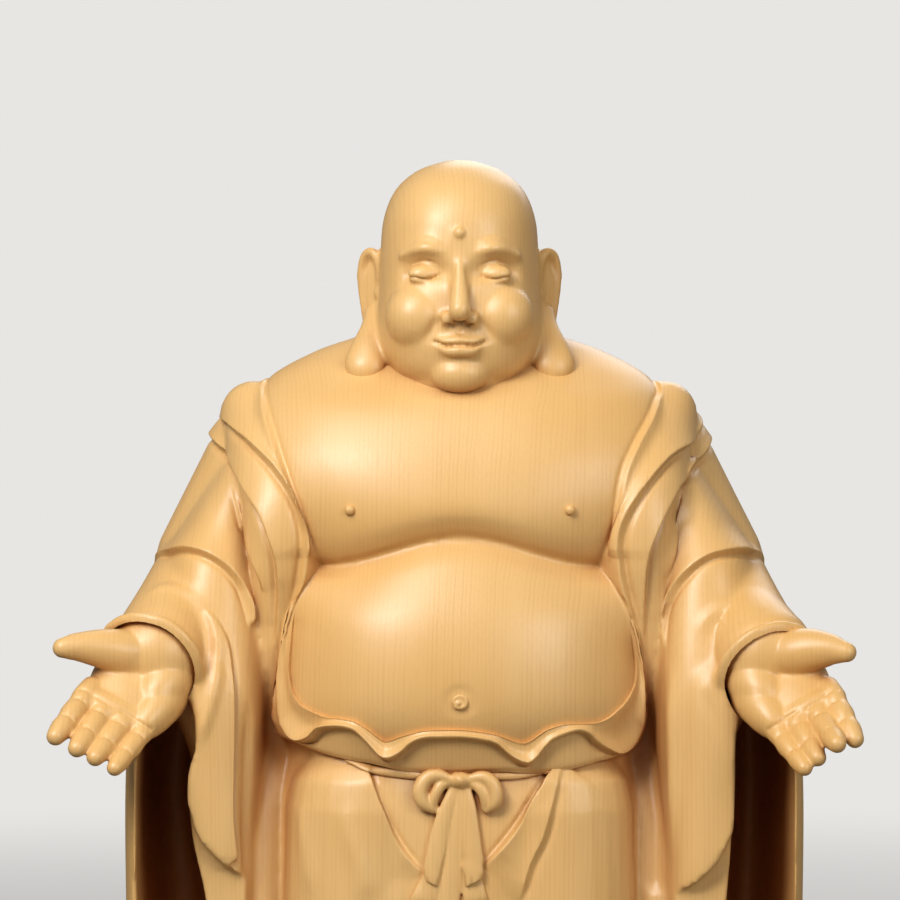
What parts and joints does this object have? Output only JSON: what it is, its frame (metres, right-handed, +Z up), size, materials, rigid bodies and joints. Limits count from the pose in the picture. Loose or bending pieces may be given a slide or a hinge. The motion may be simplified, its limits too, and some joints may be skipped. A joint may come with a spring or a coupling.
{
  "type": "hotei figure",
  "caption": "Standing hotei figure with bare belly, open arms and wide hanging sleeves, carved from one block of pale wood.",
  "frame": {"origin": "on the ground, centre of the flat foot, under the middle of the figure", "axes": "+Z up, the figure faces -Y, +X to its left hand"},
  "size_m": [0.2102, 0.1092, 0.3001],
  "materials": {
    "pale_wood": "satin, fine straight grain, waxed"
  },
  "bodies": {
    "root": {"hotei_figure": "pale_wood"}
  },
  "joints": []
}
